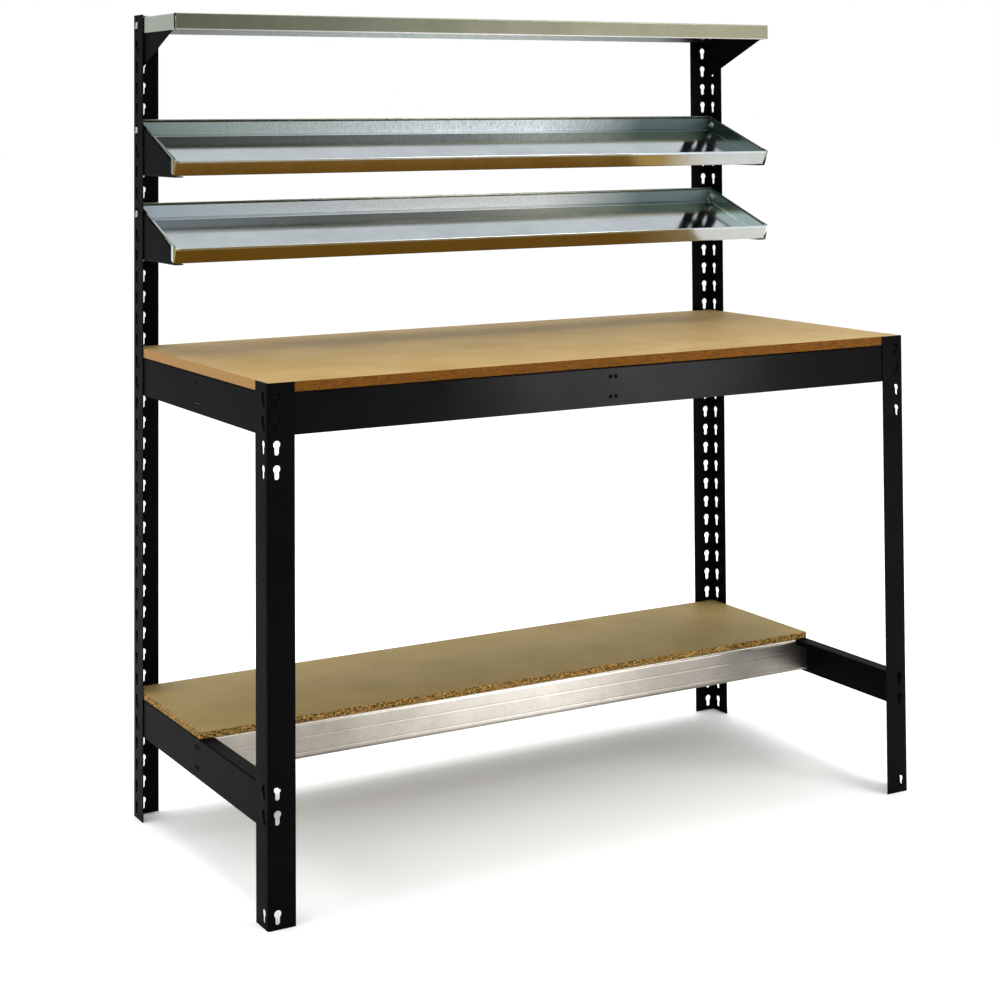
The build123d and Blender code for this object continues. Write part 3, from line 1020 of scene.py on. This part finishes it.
class TurnedTree:
    """Geometry Nodes that put turned pieces at points, each turned as its point says."""

    merge = 0.002 * MM
    head_rings = 7
    tail_rings = 5

    def __init__(self, title: str, sizes: type[Sizes]) -> None:
        """Builds the tree.

        Args:
            title: The tree's name.
            sizes: The sizes that are its inputs.
        """
        self.tree, self.source = new_tree(title, sizes.inputs())
        self.size = self.source.outputs
        joined = add_node(self.tree, "GeometryNodeJoinGeometry")
        for part in self.parts():
            self.tree.links.new(part, joined.inputs[0])
        turn = add_node(
            self.tree, "GeometryNodeInputNamedAttribute", {"Name": "turn"}, data_type="FLOAT_VECTOR"
        )
        rotation = add_node(self.tree, "FunctionNodeEulerToRotation", {0: turn.outputs[0]})
        placed = add_node(
            self.tree, "GeometryNodeInstanceOnPoints",
            {"Points": self.size["Geometry"], "Instance": joined.outputs[0],
             "Rotation": rotation.outputs[0]},
        )
        end_tree(self.tree, placed.outputs[0], self.source, self.merge)

    def parts(self) -> list[Socket]:
        """The closed meshes of one piece, about the Z axis."""
        raise NotImplementedError

    def maths(self, operation: str, first: object, second: object = 0.0) -> Socket:
        """Works out one number from two."""
        return maths(self.tree, operation, first, second)

    def along(self) -> Socket:
        """Share of the way along a curve."""
        return add_node(self.tree, "GeometryNodeSplineParameter").outputs["Factor"]

    def dome(self, radius: Socket, fullness: float) -> Socket:
        """Radius of a domed end along its height.

        Args:
            radius: Radius at the foot.
            fullness: How far towards the pole the dome goes, up to one.

        Returns:
            The radius as a field along the curve.
        """
        share = self.maths("MULTIPLY", self.along(), fullness)
        rest = self.maths("SUBTRACT", 1.0, self.maths("MULTIPLY", share, share))
        return self.maths("MULTIPLY", self.maths("SQRT", rest), radius)

    def turned(
        self, start: Socket, end: Socket, radius: Socket, steps: int, sides: int = 0,
    ) -> Socket:
        """A turned section round the Z axis.

        Args:
            start: Height of its first end.
            end: Height of its other end.
            radius: Radius, which may change along it.
            steps: Number of rings.
            sides: Number of sides, or zero for the tree's own.

        Returns:
            The closed mesh.
        """
        ends = {"Start": vector(self.tree, Z=start), "End": vector(self.tree, Z=end)}
        line = add_node(self.tree, "GeometryNodeCurvePrimitiveLine", ends).outputs[0]
        inputs = {"Curve": line, "Count": steps}
        rings = add_node(self.tree, "GeometryNodeResampleCurve", inputs).outputs[0]
        inputs = {"Resolution": sides or self.size["Sides"], "Radius": 1.0}
        outline = add_node(
            self.tree, "GeometryNodeCurvePrimitiveCircle", inputs, mode="RADIUS"
        ).outputs[0]
        inputs = {"Curve": rings, "Profile Curve": outline, "Scale": radius, "Fill Caps": True}
        return add_node(self.tree, "GeometryNodeCurveToMesh", inputs).outputs[0]

    def head(self) -> Socket:
        """The domed head."""
        radius = self.dome(self.size["Head radius"], 0.96)
        return self.turned(0.0, self.size["Head height"], radius, self.head_rings)


class PinTree(TurnedTree):
    """Geometry Nodes that make pins with a head and a riveted tail."""

    def parts(self) -> list[Socket]:
        """Shank, head and tail."""
        start = self.maths("MULTIPLY", self.size["Shank length"], -1.0)
        end = self.maths("SUBTRACT", start, self.size["Tail height"])
        shank = self.turned(0.0, start, self.size["Shank radius"], 2)
        radius = self.dome(self.size["Tail radius"], 0.9)
        return [shank, self.head(), self.turned(start, end, radius, self.tail_rings)]


class ScrewTree(TurnedTree):
    """Geometry Nodes that make bolts with a thread and a cross recess."""

    thread_rings = 56
    thread_depth = 0.24
    recess_width = 0.24
    recess_depths = (1.4, 1.44)

    def parts(self) -> list[Socket]:
        """Shank and head."""
        end = self.maths("MULTIPLY", self.size["Shank length"], -1.0)
        return [self.turned(0.0, end, self.thread(), self.thread_rings), self.recessed()]

    def thread(self) -> Socket:
        """Radius of the threaded shank along its length.

        Returns:
            The radius as a field along the curve, less in the grooves.
        """
        length = self.maths("MULTIPLY", self.along(), self.size["Shank length"])
        turns = self.maths("DIVIDE", length, self.size["Thread pitch"])
        groove = self.maths("MULTIPLY", self.maths("PINGPONG", turns, 0.5), self.thread_depth)
        share = self.maths("SUBTRACT", 1.0, groove)
        return self.maths("MULTIPLY", share, self.size["Shank radius"])

    def recessed(self) -> Socket:
        """The head with a cross cut into it.

        Returns:
            The cut mesh.
        """
        long, top = self.size["Recess"], self.size["Head height"]
        wide = self.maths("MULTIPLY", long, self.recess_width)
        cut = add_node(
            self.tree, "GeometryNodeMeshBoolean", {0: self.head()}, operation="DIFFERENCE"
        )
        for (across, along), share in zip(((wide, long), (long, wide)), self.recess_depths):
            block = vector(self.tree, X=across, Y=along, Z=self.maths("MULTIPLY", top, share))
            cube = add_node(self.tree, "GeometryNodeMeshCube", {"Size": block}).outputs[0]
            inputs = {"Geometry": cube, "Translation": vector(self.tree, Z=top)}
            moved = add_node(self.tree, "GeometryNodeTransform", inputs).outputs[0]
            self.tree.links.new(moved, cut.inputs[1])
        return cut.outputs[0]


class NutTree(TurnedTree):
    """Geometry Nodes that make flanged hexagon nuts."""

    body_rings = 12
    chamfer = (1.64, 0.78)

    def parts(self) -> list[Socket]:
        """Flange and body."""
        low = self.maths("MULTIPLY", self.size["Flange height"], -1.0)
        radius = self.dome(self.size["Flange radius"], 0.55)
        return [self.turned(0.0, low, radius, self.tail_rings), self.hexagon()]

    def hexagon(self) -> Socket:
        """The nut's body, chamfered at its free end.

        Returns:
            The closed mesh.
        """
        start, slope = self.chamfer
        fall = self.maths("SUBTRACT", start, self.maths("MULTIPLY", self.along(), slope))
        share = self.maths("MINIMUM", 1.0, fall)
        radius = self.maths("MULTIPLY", share, self.size["Corner radius"])
        end = self.maths("MULTIPLY", self.size["Height"], -1.0)
        return self.turned(0.0, end, radius, self.body_rings, 6)


@dataclass
class Fasteners:
    """Studs, rivets, bolts and nuts, at the places of their nodes."""

    gap: float = 0.2
    beam_grip: float = 3.5
    beam_studs: tuple[tuple[str, tuple[int, int], tuple[Side, ...]], ...] = (
        ("worktop_beam_studs", (20, 21), tuple(Side)),
        ("lower_beam_studs", (4, 5), (Side.REAR, Side.LEFT, Side.RIGHT)),
    )
    beam_height: float = 67.0
    web_face: float = 1.8
    rivet_pitches: Point = (11.0, 34.0)
    rivets: tuple[tuple[str, float, tuple[Side, Side]], ...] = (
        ("cross_bar_rivets", 826.0, (Side.FRONT, Side.REAR)),
        ("lower_rail_rivets", 218.0, (Side.LEFT, Side.RIGHT)),
    )
    bolts: tuple[tuple[str, int, float], ...] = (
        ("top_shelf", ROWS.top_shelf, 5.2), ("upper_tray", ROWS.upper_tray, 4.0),
        ("lower_tray", ROWS.lower_tray, 4.0),
    )
    nut_inset: float = 5.4
    sharp_angle: float = 50.0

    def __post_init__(self) -> None:
        """Takes the posts' outer corner from the frame and builds the trees."""
        self.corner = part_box("rear_right_upright")[1]
        self.pins = PinTree("Headed pins", PinSizes).tree
        self.screws = ScrewTree("Bolts with a cross recess", ScrewSizes).tree
        self.nuts = NutTree("Flanged nuts", NutSizes).tree

    def stud(self, grip: float) -> PinSizes:
        """Sizes of a stud that holds sheet up to an inset of so many millimetres."""
        return PinSizes(
            head_radius=5.8, head_height=1.8, shank_radius=3.7, shank_length=grip + 0.4,
            tail_radius=5.5, tail_height=1.2,
        )

    def reach(self, way: Vector) -> float:
        """Metres from the middle of the bench to the posts' outer faces."""
        return abs(way.x * self.corner.x + way.y * self.corner.y)

    def spot(self, side: Side, along: float, height: float, inset: float) -> tuple[Vector, Side]:
        """A place on a side: metres along it, millimetres up and inwards from the posts."""
        out = self.reach(side.outward) - inset * MM
        return side.along * along + side.outward * out + Vector((0, 0, height * MM)), side

    def rear_spots(self, height: float, inset: float) -> list[tuple[Vector, Side]]:
        """Places on the rear posts' side flanges, millimetres up and inwards."""
        column = self.corner.y - ROWS.inset * MM
        return [self.spot(side, column * side.along.y, height, inset)
                for side in (Side.LEFT, Side.RIGHT)]

    def points(self, places: Sequence[tuple[Vector, Side]]) -> bpy.types.Mesh:
        """A mesh of loose points, each with the rotation of its pin.

        Args:
            places: Each pin's foot and the side that it faces.

        Returns:
            The mesh, with the rotation in the attribute turn.
        """
        mesh = bpy.data.meshes.new("places")
        mesh.from_pydata([place for place, _ in places], [], [])
        turn = mesh.attributes.new("turn", "FLOAT_VECTOR", "POINT")
        for index, (_, side) in enumerate(places):
            turn.data[index].vector = side.turn()
        return mesh

    def fasten(
        self, node: str, groups: Sequence[tuple[Sizes, Sequence]], tree: Tree,
        finish: Finish = BLACK, slot: Slot = Slot.BLACK,
    ) -> None:
        """Makes the fasteners of one node.

        Args:
            node: The node that they replace.
            groups: Their sizes and places.
            tree: The tree that makes them.
            finish: Their finish.
            slot: Its slot.
        """
        shape = bmesh.new()
        for sizes, places in groups:
            values = {**sizes.values(), "Material": finish.material()}
            shape.from_mesh(grown(tree, self.points(places), values))
        keep(f"{node}_turned", settled(node, shape, self.sharp_angle, finish), slot, node)

    def build_studs(self) -> None:
        """Studs of the beams and of the brackets."""
        for node, rows, sides in self.beam_studs:
            places = [
                self.spot(side, end * (self.reach(side.along) - ROWS.inset * MM),
                          ROWS.seat(row), -self.gap)
                for side in sides for end in (-1, 1) for row in rows
            ]
            self.fasten(node, [(self.stud(self.beam_grip), places)], self.pins)
        groups = [(self.stud(grip), self.rear_spots(ROWS.seat(row - 1), -self.gap))
                  for _, row, grip in self.bolts]
        self.fasten("bracket_studs", groups, self.pins)

    def build_rivets(self) -> None:
        """Rivets of the two channels."""
        sizes = PinSizes(
            head_radius=3.6, head_height=1.2, shank_radius=2.0, shank_length=3.3,
            tail_radius=3.6, tail_height=1.2, sides=16,
        )
        wide, high = (pitch / 2 for pitch in self.rivet_pitches)
        for node, top, sides in self.rivets:
            middle = top - self.beam_height / 2
            places = [self.spot(side, x * wide * MM, middle + z * high, self.web_face)
                      for side in sides for x in (-1, 1) for z in (-1, 1)]
            self.fasten(node, [(sizes, places)], self.pins)

    def build_bolts(self) -> None:
        """Bolts and nuts of the top shelf and the trays."""
        for name, row, _ in self.bolts:
            for part, inset, sizes, tree, finish in (
                ("bolts", -self.gap, ScrewSizes(), self.screws, ZINC),
                # The nuts take the lighter zinc, a painted highlight
                ("nuts", self.nut_inset, NutSizes(), self.nuts, LIT_ZINC),
            ):
                places = self.rear_spots(ROWS.height(row), inset)
                self.fasten(f"{name}_{part}", [(sizes, places)], tree, finish, Slot.ZINC)

    def build(self) -> None:
        """Makes all the fasteners."""
        self.build_studs()
        self.build_rivets()
        self.build_bolts()


@dataclass
class Board:
    """A loose board with rounded corners and eased edges."""

    node: str
    face: Finish
    edge: Finish
    # Finish of the two ends; on the worktop a lighter copy of the edge, as painted light
    end: Finish
    slot: Slot
    corner: float = 2.5
    corner_steps: int = 4
    ease: float = 0.5
    sharp_angle: float = 30.0

    def build(self) -> None:
        """Makes the board in its node's box, its faces and its edges finished apart."""
        low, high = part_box(self.node)
        radius = self.corner * MM
        shape = bmesh.new()
        ring = []
        for x_end, y_end, start in ((1, 1, 0), (-1, 1, 90), (-1, -1, 180), (1, -1, 270)):
            centre = Vector((
                high.x - radius if x_end > 0 else low.x + radius,
                high.y - radius if y_end > 0 else low.y + radius, low.z,
            ))
            for step in range(self.corner_steps + 1):
                angle = radians(start + 90 * step / self.corner_steps)
                ring.append(shape.verts.new(centre + radius * Vector((cos(angle), sin(angle), 0))))
        bottom = shape.faces.new(ring[::-1])
        made = bmesh.ops.extrude_face_region(shape, geom=[bottom])
        top = [item for item in made["geom"] if isinstance(item, bmesh.types.BMVert)]
        bmesh.ops.translate(shape, vec=(0, 0, high.z - low.z), verts=top)
        if not bottom.is_valid:
            shape.faces.new(ring[::-1])
        rims = [e for e in shape.edges if abs(e.verts[0].co.z - e.verts[1].co.z) < TOUCH]
        bmesh.ops.bevel(
            shape, geom=rims, offset=self.ease * MM, segments=2, profile=0.5, affect="EDGES"
        )
        bmesh.ops.recalc_face_normals(shape, faces=shape.faces)
        mesh = settled(self.node, shape, self.sharp_angle, self.face, self.edge, self.end)
        # On the worktop the ends take the lighter copy of the edge, painted light
        for face in mesh.polygons:
            at_end = abs(face.normal.x) > 0.9
            face.material_index = 0 if abs(face.normal.z) > 0.99 else 2 if at_end else 1
        keep(f"{self.node}_eased", mesh, self.slot, self.node)


@dataclass
class FoldedSteel:
    """Nodes folded from sheet, whose solids keep their shape and get their finish."""

    finish: Finish
    nodes: tuple[str, ...]

    def build(self) -> None:
        """Gives each node its finish."""
        for name in self.nodes:
            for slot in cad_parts[name].material_slots:
                slot.material = self.finish.material()
            log.info("%s: %s", name, self.finish.title)


@dataclass
class TrayRims:
    """Folded hems along the rear and end walls of the two tilted trays."""

    tilt: float = 20.0
    bolts: tuple[tuple[str, int], ...] = (
        ("upper_tray", ROWS.upper_tray), ("lower_tray", ROWS.lower_tray),
    )
    bolt_above_floor: float = 12.8
    bolt_to_wall: float = 14.4
    depth: float = 210.0
    wall: float = 29.5
    wall_inset: float = 4.2
    front_clear: float = 14.0
    hem_height: float = 5.5
    hem_thickness: float = 2.2
    roundness: float = 0.48
    proud: float = 0.05
    sharp_angle: float = 35.0

    def hem_tree(self) -> Tree:
        """The tree that runs a hem along edges.

        Returns:
            A tree with inputs for the hem's height and thickness.
        """
        sizes = (("Hem height", "Float"), ("Hem thickness", "Float"))
        tree, source = new_tree("Hem along an edge", sizes)
        thick = source.outputs["Hem thickness"]
        path = add_node(tree, "GeometryNodeMeshToCurve", {"Mesh": source.outputs["Geometry"]})
        level = add_node(
            tree, "GeometryNodeSetCurveNormal", {"Curve": path.outputs[0]}, mode="Z_UP"
        )
        inputs = {"Width": thick, "Height": source.outputs["Hem height"]}
        outline = add_node(tree, "GeometryNodeCurvePrimitiveQuadrilateral", inputs).outputs[0]
        radius = maths(tree, "MULTIPLY", thick, self.roundness)
        inputs = {"Curve": outline, "Count": 4, "Radius": radius}
        rounded = add_node(tree, "GeometryNodeFilletCurve", inputs, mode="POLY").outputs[0]
        inputs = {"Curve": level.outputs[0], "Profile Curve": rounded, "Fill Caps": True}
        swept = add_node(tree, "GeometryNodeCurveToMesh", inputs).outputs[0]
        end_tree(tree, swept, source, SAME)
        return tree

    def paths(self) -> list[Place]:
        """Both ends of the rear edge and of the two end edges, in the tray's own frame.

        Returns:
            Six points in metres, from the foot of the front lip.
        """
        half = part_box("rear_right_upright")[1].x / MM - self.wall_inset
        thick = self.hem_thickness / 2 - self.proud
        z = self.wall + self.proud - self.hem_height / 2
        side, rear, front = half - thick, self.depth - thick, self.front_clear
        ends = ((-side, rear), (side, rear), (-side, front), (-side, rear), (side, rear),
                (side, front))
        return [(x * MM, y * MM, z * MM) for x, y in ends]

    def place(self, row: int) -> Matrix:
        """Where the tray that is bolted in a row stands.

        Args:
            row: The row.

        Returns:
            The matrix from the tray's own frame to the bench.
        """
        slope = radians(self.tilt)
        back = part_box("rear_right_upright")[1].y / MM
        rise = (self.bolt_above_floor - self.bolt_to_wall * sin(slope)) / cos(slope)
        height = ROWS.height(row) - rise - self.depth * sin(slope)
        front = back - (ROWS.inset - self.bolt_to_wall) - self.depth * cos(slope)
        return Matrix.Translation((0, front * MM, height * MM)) @ Matrix.Rotation(slope, 4, "X")

    def build(self) -> None:
        """Makes the hems of both trays."""
        tree, points = self.hem_tree(), self.paths()
        for name, row in self.bolts:
            base = bpy.data.meshes.new("rim path")
            base.from_pydata(points, [(0, 1), (2, 3), (4, 5)], [])
            # The hems take the darker copy of the sheet, painted shade along the rims
            values = {"Hem height": self.hem_height * MM,
                      "Hem thickness": self.hem_thickness * MM, "Material": HEM_STEEL.material()}
            mesh = grown(tree, base, values)
            mesh.transform(self.place(row))
            smooth_bends(mesh, self.sharp_angle)
            keep(f"{name}_hems", mesh, Slot.SHEET)


@dataclass(frozen=True)
class Lamp:
    """A soft rectangular light, its places and size in metres."""

    name: str
    place: Place
    aim: Place
    size: Point
    watts: float

    def build(self) -> None:
        """Adds the light."""
        data = bpy.data.lights.new(self.name, "AREA")
        data.shape, data.energy = "RECTANGLE", self.watts
        data.size, data.size_y = self.size
        light = bpy.data.objects.new(self.name, data)
        turn = (Vector(self.aim) - Vector(self.place)).to_track_quat("-Z", "Y")
        light.matrix_world = Matrix.Translation(self.place) @ turn.to_matrix().to_4x4()
        bpy.context.scene.collection.objects.link(light)


@dataclass
class Studio:
    """Camera, floor, lights and the white room round the bench."""

    eye: Place = (-1.898594, -3.231252, 1.255363)
    yaw: float = 0.520569
    pitch: float = 0.0328784
    roll: float = -0.00594973
    focal: float = 2022.935
    image: float = 1000.0
    middle_row: float = 50.212
    sensor: float = 36.0
    floor_reach: float = 60.0
    shades: tuple[tuple[float, str], ...] = (
        (0.4, "#C9C6BC"), (0.52, "#D9D7CA"), (0.7, "#EAF1F6"), (1.0, "#FFFFFF"),
    )
    regions: tuple[tuple[Place, Point, str], ...] = (
        ((0.2, -0.98, 0.0), (0.86, 0.99), "#585A3E"),
        ((-0.64, 0.76, 0.1), (0.9, 0.99), "#55645F"),
    )
    room_light: float = 1.18
    lamps: tuple[Lamp, ...] = (
        Lamp("left window", (-4.6, 0.2, 2.4), (0, 0, 0.8), (3.0, 2.4), 70.0),
        Lamp("front window", (2.3, -3.8, 0.5), (0, -0.3, 0.8), (0.9, 0.9), 60.0),
        Lamp("front softbox", (1.6, -2.5, 2.5), (0, 0, 0.8), (1.4, 0.9), 25.0),
        Lamp("top panel", (0.0, 0.6, 4.4), (0, 0, 0.8), (3.4, 2.6), 130.0),
    )

    def camera(self) -> None:
        """Makes the camera of the photograph."""
        level = cos(self.pitch)
        ahead = Vector((sin(self.yaw) * level, cos(self.yaw) * level, sin(self.pitch)))
        right = Vector((cos(self.yaw), -sin(self.yaw), 0))
        up = right.cross(ahead)
        turned_right = cos(self.roll) * right + sin(self.roll) * up
        turned_up = cos(self.roll) * up - sin(self.roll) * right
        data = bpy.data.cameras.new("camera")
        data.sensor_width = self.sensor
        data.lens = self.sensor * self.focal / self.image
        data.shift_y = (self.middle_row - self.image / 2) / self.image
        data.clip_end = 2 * self.floor_reach
        camera = bpy.data.objects.new("camera", data)
        turn = Matrix((turned_right, turned_up, -ahead)).transposed()
        camera.matrix_world = Matrix.Translation(self.eye) @ turn.to_4x4()
        bpy.context.scene.collection.objects.link(camera)
        bpy.context.scene.camera = camera

    def floor(self) -> None:
        """Makes the pale floor."""
        reach = self.floor_reach
        mesh = bpy.data.meshes.new("floor")
        corners = [(-reach, -reach, 0), (reach, -reach, 0), (reach, reach, 0), (-reach, reach, 0)]
        mesh.from_pydata(corners, [], [(0, 1, 2, 3)])
        mesh.materials.append(PaleFloor().material())
        floor = bpy.data.objects.new("floor", mesh)
        bpy.context.scene.collection.objects.link(floor)

    def room(self) -> None:
        """White surroundings, bright overhead and dim in front, as the bare metal mirrors them."""
        world = bpy.data.worlds.new("white room")
        world.use_nodes = True
        tree = world.node_tree
        tree.nodes.clear()
        way = add_node(tree, "ShaderNodeTexCoord").outputs["Generated"]
        level = zone(tree, axes(tree, way)[2], -1.0, 1.0)
        shade = add_node(tree, "ShaderNodeValToRGB", {"Fac": level}, stops=self.shades).outputs[0]
        for middle, reach, colour in self.regions:
            facing = add_node(
                tree, "ShaderNodeVectorMath", {0: way, 1: middle}, operation="DOT_PRODUCT"
            ).outputs["Value"]
            share = zone(tree, facing, *reach, interpolation_type="SMOOTHSTEP")
            shade = mix(tree, share, shade, colour)
        inputs = {"Color": shade, "Strength": self.room_light}
        lit = add_node(tree, "ShaderNodeBackground", inputs).outputs[0]
        inputs = {"Color": "#FFFFFF", "Strength": 1.0}
        seen = add_node(tree, "ShaderNodeBackground", inputs).outputs[0]
        path = add_node(tree, "ShaderNodeLightPath").outputs["Is Camera Ray"]
        both = add_node(tree, "ShaderNodeMixShader", {0: path, 1: lit, 2: seen}).outputs[0]
        add_node(tree, "ShaderNodeOutputWorld", {"Surface": both})
        bpy.context.scene.world = world

    def build(self) -> None:
        """Sets up the whole studio."""
        self.camera()
        self.floor()
        self.room()
        for lamp in self.lamps:
            lamp.build()
        view = bpy.context.scene.view_settings
        view.view_transform = "Standard"
        view.look = "None"


def main() -> None:
    """Builds the pieces in order, the studio round them first."""
    beams = [f"{level}_{side}_beam" for level in ("worktop", "lower")
             for side in ("rear", "left", "right")]
    brackets = [f"{name}_{side}_bracket" for name in ("top_shelf", "upper_tray", "lower_tray")
                for side in ("left", "right")]
    Studio().build()
    Uprights().build()
    FoldedSteel(BLACK, tuple(beams + brackets)).build()
    for finish, node in (
        (RUBBED_BLACK, "worktop_front_beam"), (RAIL_STEEL, "lower_front_rail"),
        (BAR_STEEL, "worktop_cross_bar"), (TOP_STEEL, "top_shelf"),
        (UPPER_TRAY_STEEL, "upper_tray"), (LOWER_TRAY_STEEL, "lower_tray"),
    ):
        FoldedSteel(finish, (node,)).build()
    TrayRims().build()
    Fasteners().build()
    Board("worktop_board", WORKTOP_FACE, WORKTOP_EDGE, WORKTOP_LIT_END, Slot.WORKTOP).build()
    Board("lower_shelf_board", SHELF_FACE, SHELF_EDGE, SHELF_EDGE, Slot.SHELF).build()


if __name__ == "__main__":
    logging.basicConfig(level=logging.INFO, format="%(message)s")
    main()
